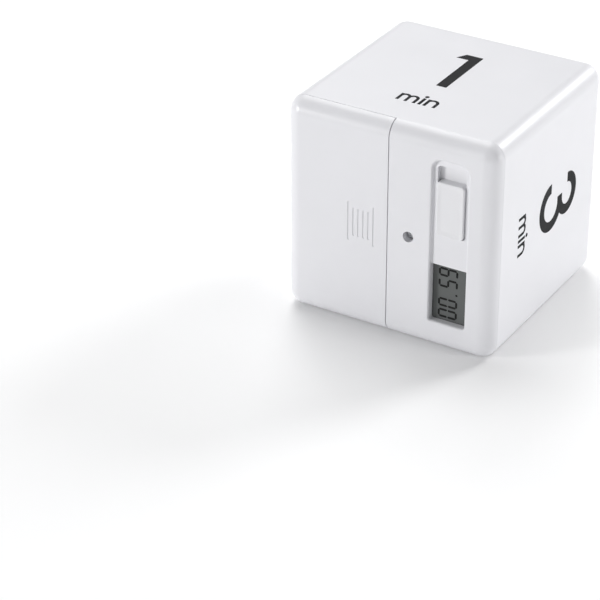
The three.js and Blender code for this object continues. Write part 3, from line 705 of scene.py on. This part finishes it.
def sliding_cover():
    """The other half of the lid, with its grip grooves and two rails."""
    cover = inside(cube_outside(), block(
        (-SIDE, -SIDE, -SIDE), (-SEAM_GAP / 2, PARTING - SLIDING_GAP, SIDE)))
    soften(cover)
    grooves = []
    for i in range(GRIP_COUNT):
        half_length = (GRIP_OUTER_LENGTH if i in (0, GRIP_COUNT - 1) else GRIP_INNER_LENGTH) / 2
        x = GRIP_FIRST_X - i * GRIP_PITCH
        half_width = GRIP_WIDTH / 2
        end = half_width - 0.01
        grooves.append(pocket_cutter(
            x - half_width, x + half_width, -half_length, half_length, end, end,
            FRONT + INK, FRONT + GRIP_DEPTH, lip=0.1, root=0.1, steps=5))
    cut(cover, lid_inside(), *grooves)
    tongue_half = INNER - 6
    tongue_start, tongue_end, tongue_back = -0.5, 1.3, PLATE_BACK + 1
    rail_start, rail_end = box_low.x + 1.2, -3
    additions = [
        block((rail_end, PLATE_BACK - SINK, -tongue_half), (-SEAM_GAP / 2, tongue_back, tongue_half)),
        block((tongue_start, PLATE_BACK + SLIDING_GAP, -tongue_half), (tongue_end, tongue_back, tongue_half)),
    ]
    rail_back = RAIL_FOOT + RAIL_THICKNESS
    rail_outer = RAIL_INNER + RAIL_THICKNESS
    for end in (-1, 1):
        leg = sorted((end * RAIL_INNER, end * rail_outer))
        foot = sorted((end * (RAIL_INNER - RAIL_THICKNESS), end * rail_outer))
        additions.append(block((rail_start, PLATE_BACK - SINK, leg[0]), (rail_end, rail_back, leg[1])))
        additions.append(block((rail_start, RAIL_FOOT, foot[0]), (rail_end, rail_back, foot[1])))
    joined(cover, *additions)
    return place(smooth(cover), "sliding_battery_cover", "cover", ABS, ["battery_cover"])


# ---------------------------------------------- switch and screw

def mode_knob():
    """The sliding knob: its pad, the dust plate behind the slot and the socket for the switch's stem."""
    edge = 0.35
    border = 1.1
    dish_depth, dish_slope, dish_rim = 0.2, 0.45, 0.03
    front = knob_low.y
    sections = [(front + dish_depth, -border - dish_slope), (front + dish_rim, -border)]
    sections += quarter(front, 0, edge, "edge")
    sections += [(DUST_FRONT + SINK, 0)]
    knob = rounded_rings(
        KNOB_CENTRE_X - KNOB_HALF_WIDTH, KNOB_CENTRE_X + KNOB_HALF_WIDTH, KNOB_BOTTOM, KNOB_TOP,
        KNOB_RADIUS, KNOB_RADIUS, sections, 10)
    plate = soften(block(
        (knob_low.x, DUST_FRONT, knob_low.z), (knob_high.x, DUST_FRONT + DUST_PLATE, knob_high.z)), 0.12)
    at = (KNOB_BOTTOM + KNOB_TOP) / 2
    stem_low, stem_high = node_box("slide_switch_actuator")
    socket_half, stem_half = 2.1, 1
    socket = block(
        (KNOB_CENTRE_X - socket_half, DUST_FRONT + 0.6, at - socket_half),
        (KNOB_CENTRE_X + socket_half, knob_high.y, at + socket_half))
    joined(knob, plate, socket)
    cut(knob, block(
        (KNOB_CENTRE_X - stem_half, stem_low.y - 0.3, at - stem_half),
        (KNOB_CENTRE_X + stem_half, stem_high.y, at + stem_half)))
    return place(smooth(knob), "mode_switch_knob", "mode_switch", KNOB_ABS, ["switch_knob"])


def crossed_screw(name, node, head_height, shank, head_at_front=True):
    """A self-tapping screw along Y with a domed head, a cross recess and a tapering point."""
    low, high = node_box(node)
    head = (high.x - low.x) / 2
    length = high.y - low.y
    core = shank * 0.78
    pitch, crest = 0.9, 0.28
    thread_start = head_height + 0.4
    profile = [(0, 0), (head * 0.55, 0.02), (head * 0.86, 0.1), (head, 0.3), (head, head_height - 0.06),
               (head - 0.06, head_height), (core, head_height)]
    for i in range(int((length - head_height - 1) / pitch)):
        start = thread_start + i * pitch
        profile += [(core, start), (shank, start + crest), (core, start + 2 * crest)]
    profile += [(core, length - 0.6), (core * 0.5, length), (0, length)]
    screw = turned(profile, 40)
    arm_half, arm_depth = head * 0.6, 0.5
    blade_half = head * 0.16
    for turn in (38, 128):
        arm = block((-arm_half, -blade_half, -1), (arm_half, blade_half, arm_depth))
        arm.data.transform(Matrix.Rotation(math.radians(turn), 4, "Z"))
        cut(screw, arm)
    way = 1 if head_at_front else -1
    start = low.y if head_at_front else high.y
    along(screw, (0, way, 0), ((low.x + high.x) / 2, start, (low.z + high.z) / 2))
    return place(smooth(screw), name, "case", STEEL, [node])


# ---------------------------------------------- display

SEGMENTS = {
    "0": "abcdef", "5": "acdfg", "9": "abcdfg",
}


def digit_outlines(digit, left, bottom, width, height, stroke):
    """The lit bars of a seven-segment digit, as outlines with pointed ends."""
    gap = 0.05
    nib = stroke / 2
    right, top, middle = left + width, bottom + height, bottom + height / 2
    low_bar, high_bar = bottom + nib, top - nib
    left_bar, right_bar = left + nib, right - nib

    def across(v):
        start, end = left_bar + gap, right_bar - gap
        return [
            (start, v), (start + nib, v + nib), (end - nib, v + nib),
            (end, v), (end - nib, v - nib), (start + nib, v - nib),
        ]

    def upright(u, low, high):
        start, end = low + gap, high - gap
        return [
            (u, start), (u - nib, start + nib), (u - nib, end - nib),
            (u, end), (u + nib, end - nib), (u + nib, start + nib),
        ]

    bars = {
        "a": across(high_bar),
        "b": upright(right_bar, middle, high_bar),
        "c": upright(right_bar, low_bar, middle),
        "d": across(low_bar),
        "e": upright(left_bar, low_bar, middle),
        "f": upright(left_bar, middle, high_bar),
        "g": across(middle),
    }
    return [bars[bar] for bar in SEGMENTS[digit]]


def printed(outlines, origin, right, up, thickness):
    """Flat outlines in a plane, given a small thickness away from it."""
    right, up = Vector(right), Vector(up)
    curve = bpy.data.curves.new("print", "CURVE")
    curve.dimensions = "2D"
    curve.fill_mode = "BOTH"
    curve.extrude = thickness / 2
    for outline in outlines:
        spline = curve.splines.new("POLY")
        spline.points.add(len(outline) - 1)
        spline.use_cyclic_u = True
        for point, (u, v) in zip(spline.points, outline):
            point.co = (u, v, 0, 1)
    piece = curve_as_mesh(curve)
    out = right.cross(up)
    turn = Matrix((right, up, out)).transposed().to_4x4()
    piece.data.transform(Matrix.Translation(Vector(origin) + out * thickness / 2) @ turn)
    return piece


def display():
    """The glass cell, a near-black frame round its window that paints the shade at the window's edges, and
    the digits.
    """
    step, corner, joint = 0.3, 0.12, glass_low.y + 1
    glass = rounded_box(
        (glass_low.x + step, glass_low.y, glass_low.z + step),
        (glass_high.x - step, joint + 0.08, glass_high.z - step), corner, 3)
    rear = rounded_box((glass_low.x, joint, glass_low.z), tuple(glass_high), corner, 3)
    joined(glass, rear)
    place(smooth(glass), "display_glass_cell", "case", LCD_FACE, ["display_glass"])

    plane = glass_low.y
    # A thin near-black frame on the glass, round the window's edges: painted shade where the window's walls
    # and gap shadow the glass.
    spread, rim, rounding = 0.4, 0.2, 0.2
    border = [
        rounded_outline(
            WINDOW_LEFT - spread, WINDOW_RIGHT + spread, WINDOW_BOTTOM - spread, WINDOW_TOP + spread,
            rounding, rounding, 3),
        rounded_outline(
            WINDOW_LEFT + rim, WINDOW_RIGHT - rim, WINDOW_BOTTOM + rim, WINDOW_TOP - rim,
            rounding, rounding, 3)[::-1],
    ]
    shade_frame = printed(border, (0, plane, 0), (1, 0, 0), (0, 0, 1), 0.008)
    place(shade_frame, "display_painted_shade_frame", "case", LCD_PAINTED_SHADE)

    digit_height = 5.8
    digit_width = 2.65
    digit_stroke = 0.62
    baseline_x = WINDOW_LEFT + 7.57
    marks = []
    for digit, centre in zip("0059", (-21.34, -17.99, -12.04, -8.74)):
        marks += digit_outlines(digit, centre - digit_width / 2, 0, digit_width, digit_height, digit_stroke)
    dot_radius, dot_centre = 0.33, -14.99
    marks.append(arc(dot_centre, dot_radius, dot_radius, dot_radius, 0, 345, 23))
    digits = printed(marks, (baseline_x, plane, 0), (0, 0, 1), (-1, 0, 0), 0.012)
    place(digits, "display_digits", "case", LCD_DIGIT)


# ---------------------------------------------- numbers on the faces

def glyph_one(shift=0.0):
    """A stem with a slanted flag."""
    flag = [(2.5, 16.5), (-2.6, 16.5), (-4.4, 13.5), (-0.6, 13.5), (-0.6, -5.3), (2.5, -5.3)]
    return [[(u + shift, v) for u, v in flag]]


def glyph_three():
    """Two open rings, one on the other, joined by a short bar."""
    upper_u, upper_v = -0.9, 11.35
    lower_u, lower_v = -0.68, 1.5
    waist = 2.2
    notch_upper = -46
    notch_lower = 55
    outline = arc(upper_u, upper_v, 6.25, 5.85, 180, notch_upper, 40)
    outline += arc(lower_u, lower_v, 7.18, 6.9, notch_lower, -180, 40)
    outline += arc(lower_u, lower_v, 4.18, 4.0, -180, 90, 40)
    outline += [(-waist, 5.5), (-waist, 8.4)]
    outline += arc(upper_u, upper_v, 3.25, 2.95, -90, 180, 40)
    return [outline]


def glyph_five():
    """A flat-topped hook over an open bowl."""
    bowl_u, bowl_v = -0.1, 1.33
    outline = [(-4.6, 16.5), (6.3, 16.5), (6.3, 13.4), (-1.5, 13.4), (-1.5, 8.08)]
    outline += arc(bowl_u, bowl_v, 7.2, 6.75, 90, -155, 44)
    outline += arc(bowl_u, bowl_v, 4.2, 3.85, -155, 90, 44)
    outline += [(-4.6, 5.18)]
    return [outline]


def glyph_ten():
    """A one and a tall ring."""
    ring_u, ring_v = 5.75, 5.4
    ring = [arc(ring_u, ring_v, 6.65, 11.1, 0, 354, 59), arc(ring_u, ring_v, 3.4, 8.6, 354, 0, 59)]
    return glyph_one(-7.4) + ring


def glyph_min():
    """The unit under each number, in a plain rounded sans."""
    base, shoulder = -18.1, -14.0
    m_arch, n_arch = -15.5, -15.65
    letter_m = [(-6.05, base), (-6.05, shoulder), (-5.15, shoulder)]
    letter_m += arc(-4.35, m_arch, 1.7, 1.7, 118, 42.7, 12)
    letter_m += arc(-1.85, m_arch, 1.7, 1.7, 137.3, 0, 16)
    letter_m += [(-0.15, base), (-1.05, base)]
    letter_m += arc(-1.85, m_arch, 0.8, 0.8, 0, 180, 14)
    letter_m += [(-2.65, base), (-3.55, base)]
    letter_m += arc(-4.35, m_arch, 0.8, 0.8, 0, 180, 14)
    letter_m += [(-5.15, base)]
    letter_i = [(0.55, base), (0.55, shoulder), (1.45, shoulder), (1.45, base)]
    letter_n = [(2.1, base), (2.1, shoulder), (3.0, shoulder)]
    letter_n += arc(3.95, n_arch, 1.85, 1.85, 120.9, 0, 16)
    letter_n += [(5.8, base), (4.9, base)]
    letter_n += arc(3.95, n_arch, 0.95, 0.95, 0, 180, 14)
    letter_n += [(3.0, base)]
    return [letter_m, letter_i, arc(1.0, -13.0, 0.62, 0.62, 0, 340, 17), letter_n]


def face_numbers():
    """The numbers, each with its unit, all with their tops towards the blank face."""
    reach = HALF - INK
    faces = {
        "number_1": (glyph_one(), (0, 0, reach), (1, 0, 0)),
        "number_3": (glyph_three(), (reach, 0, 0), (0, 0, -1)),
        "number_5": (glyph_five(), (0, 0, -reach), (-1, 0, 0)),
        "number_10": (glyph_ten(), (-reach, 0, 0), (0, 0, 1)),
    }
    for name, (glyph, origin, right) in faces.items():
        place(printed(glyph + glyph_min(), origin, right, (0, 1, 0), INK), name, "case", INK_BLACK)


# ---------------------------------------------- inside

def slide_switch():
    """The bought switch behind the knob."""
    refined("slide_switch_actuator", "switch_slider", BLACK_PLASTIC, body="mode_switch")
    refined("slide_switch_frame", "switch_can", SHEET_STEEL)
    refined("slide_switch_base", "switch_base_plate", PHENOLIC)


def display_support():
    """What lies behind the glass cell."""
    refined("display_reflector", "display_back_foil", FOIL, 0.04)
    refined("display_holder", "display_carrier", BLACK_PLASTIC)
    for i in (1, 2):
        refined(f"contact_strip_{i}", f"rubber_contact_{i}", RUBBER, 0.2)


def board_and_parts():
    """The circuit board, its screws and the parts on it."""
    refined("circuit_board", "timer_board", SOLDER_MASK)
    refined("controller_chip", "controller_blob", EPOXY)
    for i in (1, 2, 3):
        refined(f"resistor_{i}", f"chip_resistor_{i}", EPOXY, 0.06)
    refined("driver_transistor", "buzzer_transistor", EPOXY, 0.08)
    for i in (1, 2, 3, 4):
        crossed_screw(f"board_fixing_screw_{i}", f"board_screw_{i}", 1, 0.75, head_at_front=False)

    low, high = node_box("crystal")
    radius, length = (high.x - low.x) / 2, high.z - low.z
    can = turned([(0, 0), (radius - 0.3, 0), (radius, 0.12), (radius, length - 0.35),
                  (radius - 0.1, length - 0.1), (radius - 0.35, length), (0, length)], 32)
    along(can, (0, 0, 1), ((low.x + high.x) / 2, (low.y + high.y) / 2, low.z))
    place(smooth(can), "watch_crystal", "case", STEEL, ["crystal"])

    low, high = node_box("capacitor")
    radius, length = (high.x - low.x) / 2, high.y - low.y
    lip = radius - 0.45
    dip = 0.12
    can = turned([
        (0, 0), (radius - 0.15, 0), (radius, 0.15), (radius, 0.9), (radius - 0.2, 1.2), (radius, 1.5),
        (radius, length - 0.2), (radius - 0.2, length), (lip, length), (lip - 0.1, length - dip),
        (0, length - dip),
    ], 40)
    paint(can, lambda at: 1 if at.z > length - dip - 0.01 and math.hypot(at.x, at.y) < lip else 0)
    along(can, (0, 1, 0), ((low.x + high.x) / 2, low.y, (low.z + high.z) / 2))
    place(smooth(can), "supply_capacitor", "case", [BLACK_PLASTIC, STEEL], ["capacitor"])


def tilt_switch(number, ball_body):
    """A steel tube with a plug in its lower end and a ball that rolls in it."""
    direction = Vector(JOINTS[f"{ball_body}_roll"]["axis"]).normalized()
    outer, bore = 2.4, 1.9
    length, end = 7.4, 0.5
    plug_depth, flange, gap = 1, 0.8, 0.1
    foot = middle(f"tilt_tube_{number}") - direction * length / 2
    tube = turned([(0, length), (outer - 0.5, length), (outer - 0.15, length - 0.15), (outer, length - 0.5),
                   (outer, 0.1), (outer - 0.1, 0), (bore + 0.1, 0), (bore, 0.1), (bore, length - end),
                   (0, length - end)], 48)
    place(smooth(along(tube, direction, foot)), f"tilt_switch_tube_{number}", "case", STEEL,
          [f"tilt_tube_{number}"])
    plug_radius = bore - gap
    plug = turned([(0, -flange - gap), (outer - 0.15, -flange - gap), (outer, -flange), (outer, -gap - 0.1),
                   (outer - 0.1, -gap), (plug_radius, -gap), (plug_radius, plug_depth - 0.1),
                   (plug_radius - 0.1, plug_depth), (0, plug_depth)], 48)
    place(smooth(along(plug, direction, foot)), f"tilt_switch_plug_{number}", "case", BLACK_PLASTIC,
          [f"tilt_plug_{number}"])
    low, high = node_box(f"tilt_ball_{number}")
    radius = 1.5
    outline = arc(0, 0, radius, radius, -90, 90, 24)
    ball = turned([(0, -radius), *outline[1:-1], (0, radius)], 40)
    place(smooth(along(ball, direction, (low + high) / 2)), f"rolling_ball_{number}", ball_body, STEEL,
          [f"tilt_ball_{number}"])


def buzzer():
    """The buzzer's housing and its two discs."""
    low, high = node_box("buzzer_case")
    radius, height = (high.x - low.x) / 2, high.y - low.y
    centre = ((low.x + high.x) / 2, low.y, (low.z + high.z) / 2)
    seat, rim, back = 1.4, 1, 0.8
    housing = turned([
        (0, height - back), (radius - 2 * rim, height - back), (radius - 2 * rim, seat),
        (radius - rim, seat), (radius - rim, 0), (radius, 0), (radius, height), (0, height),
    ], 64)
    place(smooth(along(housing, (0, 1, 0), centre)), "buzzer_housing", "case", BLACK_PLASTIC,
          ["buzzer_case"])
    for node, name, material, slot in (
        ("buzzer_disc", "buzzer_brass_disc", BRASS, "brass"),
        ("buzzer_ceramic", "buzzer_ceramic_disc", CERAMIC, "ceramic"),
    ):
        low, high = node_box(node)
        radius, height = (high.x - low.x) / 2, high.y - low.y
        disc = turned([(0, 0), (radius, 0), (radius, height), (0, height)], 64)
        along(disc, (0, 1, 0), ((low.x + high.x) / 2, low.y, (low.z + high.z) / 2))
        place(smooth(disc), name, "case", material, [node])


def battery(number, end):
    """An AAA cell along Z in a printed sleeve; end is 1 when its positive end is up."""
    low, high = node_box(f"battery_{number}")
    radius, length = (high.x - low.x) / 2, high.z - low.z
    shoulder = length - 0.8
    band = length * 0.7
    sleeve_edge = radius - 1.15
    cell = turned([
        (0, 0.04), (radius - 1.6, 0.04), (radius - 1.4, 0.16), (sleeve_edge, 0.16),
        (sleeve_edge + 0.05, 0.02), (radius - 0.45, 0), (radius - 0.14, 0.14), (radius, 0.5),
        (radius, band), (radius, shoulder - 0.55),
        (radius - 0.14, shoulder - 0.16), (radius - 0.45, shoulder), (sleeve_edge + 0.05, shoulder - 0.02),
        (sleeve_edge, shoulder - 0.2), (2.2, shoulder - 0.2), (1.95, shoulder - 0.05), (1.9, length - 0.2),
        (1.7, length), (0, length),
    ], 64)

    def finish(at):
        if math.hypot(at.x, at.y) < sleeve_edge:
            return 2
        return 1 if at.z > band else 0

    paint(cell, finish)
    foot = low.z if end > 0 else high.z
    along(cell, (0, 0, end), ((low.x + high.x) / 2, (low.y + high.y) / 2, foot))
    place(smooth(cell), f"aaa_cell_{number}", "case", [CELL_WRAP, CELL_BAND, STEEL],
          [f"battery_{number}"])


def contact_spring(number, end):
    """The coil that presses on a cell's flat end, wider where it sits on its plate."""
    low, high = node_box(f"contact_spring_{number}")
    wire = 0.35
    turns, wide, narrow = 3.5, 3.4, 2.4
    axis = Vector(middle(f"battery_{number}"))
    plate = high.z if end > 0 else low.z
    tip = low.z if end > 0 else high.z
    steps = 72
    points = []
    for i in range(steps + 1):
        share = i / steps
        angle = 2 * math.pi * turns * share
        radius = wide - (wide - narrow) * share
        z = (plate - end * wire) * (1 - share) + (tip + end * wire) * share
        points.append((axis.x + radius * math.cos(angle), axis.y + radius * math.sin(angle), z))
    spring = swept(points, wire)
    place(smooth(spring), f"cell_spring_{number}", "case", SPRING_STEEL,
          [f"contact_spring_{number}"])


def battery_bay():
    """The battery tray with its screws, cells and contacts."""
    refined("battery_box", "battery_tray", BLACK_PLASTIC)
    for i in (1, 2):
        crossed_screw(f"tray_screw_{i}", f"box_screw_{i}", head_height=1.2, shank=1.1)
    battery(1, -1)
    battery(2, 1)
    contact_spring(1, 1)
    contact_spring(2, -1)
    refined("negative_contact", "negative_plate", SPRING_STEEL, 0.06)
    refined("positive_contact", "positive_plate", SPRING_STEEL, 0.06)
    refined("link_contact", "link_plate", SPRING_STEEL, 0.06)


def leads():
    """The insulated wires between the board, the battery tray and the buzzer."""
    start = board_high.y + 0.3
    tray_floor = box_high.y - TRAY_FLOOR
    notch_z = box_high.z - TRAY_FLANGE - TRAY_WALL - 7
    disc = node_box("buzzer_disc")[0].y
    tray_middle = (box_low.x + box_high.x) / 2
    over_tray = box_high.z + 0.1
    radius = 0.55
    routes = {
        "battery_lead_red": ("battery_wire_red", RED_PVC, "red_insulation", [
            (13.5, start, 11.4), (13.5, start + 2.5, 11.4), (9, start + 7, 15),
            (1, tray_floor - 1, notch_z), (box_high.x + 0.8, tray_floor - 1.7, notch_z),
        ]),
        "battery_lead_black": ("battery_wire_black", BLACK_PVC, "black_insulation", [
            (13.5, start, 9.4), (13.5, start + 3.5, 9.6), (8, start + 9, 16), (0, tray_floor + 1, over_tray),
            (tray_middle + 4, tray_floor - 1, over_tray), (tray_middle - 1.6, tray_floor - 2, over_tray),
            (tray_middle - 2.4, tray_floor - 2.2, over_tray - 1),
        ]),
        "buzzer_lead_red": ("buzzer_wire_red", RED_PVC, "red_insulation", [
            (24, start, 1), (24, start + 4, 1), (22, 5, 4), (16, 20, 4), (14, disc - 1.2, 3),
        ]),
        "buzzer_lead_black": ("buzzer_wire_black", BLACK_PVC, "black_insulation", [
            (24, start, -2), (24, start + 4, -2), (23, 5, -4), (21, 20, -4), (20.5, disc - 0.4, -3),
        ]),
    }
    for node, (name, material, slot, points) in routes.items():
        place(smooth(swept(points, radius)), name, "case", material, [node])


# ---------------------------------------------- studio and camera

def camera():
    """The camera, above and to the right of the display face."""
    view = bpy.data.cameras.new("camera")
    view.lens = 144.4
    view.sensor_width = 36
    view.clip_start = 0.01
    view.clip_end = 20
    holder = bpy.data.objects.new("camera", view)
    holder.location = (0.2722, -0.5267, 0.3387)
    holder.rotation_euler = (math.radians(59.84), math.radians(0.09), math.radians(31.13))
    bpy.context.scene.collection.objects.link(holder)
    bpy.context.scene.camera = holder


def area_light(name, location, target, size, power):
    """A round white light that the camera doesn't see."""
    lamp = bpy.data.lights.new(name, "AREA")
    lamp.shape = "DISK"
    lamp.size = size
    lamp.energy = power
    holder = bpy.data.objects.new(name, lamp)
    holder.location = location
    holder.rotation_euler = (Vector(target) - Vector(location)).to_track_quat("-Z", "Y").to_euler()
    holder.visible_camera = False
    bpy.context.scene.collection.objects.link(holder)


def studio():
    """A white paper floor under soft lights."""
    floor_half = 3
    shape = bmesh.new()
    bmesh.ops.create_grid(shape, x_segments=1, y_segments=1, size=floor_half)
    floor = from_bmesh(shape, "floor")
    floor.location.z = -0.00002
    paper = Finish("floor_paper", (0.99, 0.99, 0.99), 0.9)
    paper.sheen_patches(40, 0.05)
    floor.data.materials.append(paper.material)

    world = bpy.data.worlds.new("studio")
    world.use_nodes = True
    world.node_tree.nodes["Background"].inputs["Color"].default_value = (0.98, 0.985, 1, 1)
    world.node_tree.nodes["Background"].inputs["Strength"].default_value = 0.3
    bpy.context.scene.world = world

    target = (0, 0, HALF * MM)
    area_light("overhead", (-0.4, 0.3, 1.4), target, 0.8, 7.5)
    area_light("overhead_left", (-0.6, 0.8, 1.0), target, 0.6, 4.4)
    area_light("overhead_right", (0.5, 1.1, 0.7), target, 0.5, 7.8)
    area_light("side_fill", (1.2, 0.15, 0.2), target, 0.4, 4.7)
    area_light("front_key", (-1.0, -1.1, 0.3), target, 0.4, 11.8)
    bpy.context.scene.view_settings.view_transform = "Standard"
    bpy.context.scene.view_settings.look = "None"


camera()
studio()
case_shell()
display_panel()
sliding_cover()
mode_knob()
crossed_screw("panel_fixing_screw", "panel_screw", SCREW_HEAD_HEIGHT, shank=0.9)
display()
face_numbers()
slide_switch()
display_support()
board_and_parts()
tilt_switch(1, "tilt_ball_a")
tilt_switch(2, "tilt_ball_b")
buzzer()
battery_bay()
leads()
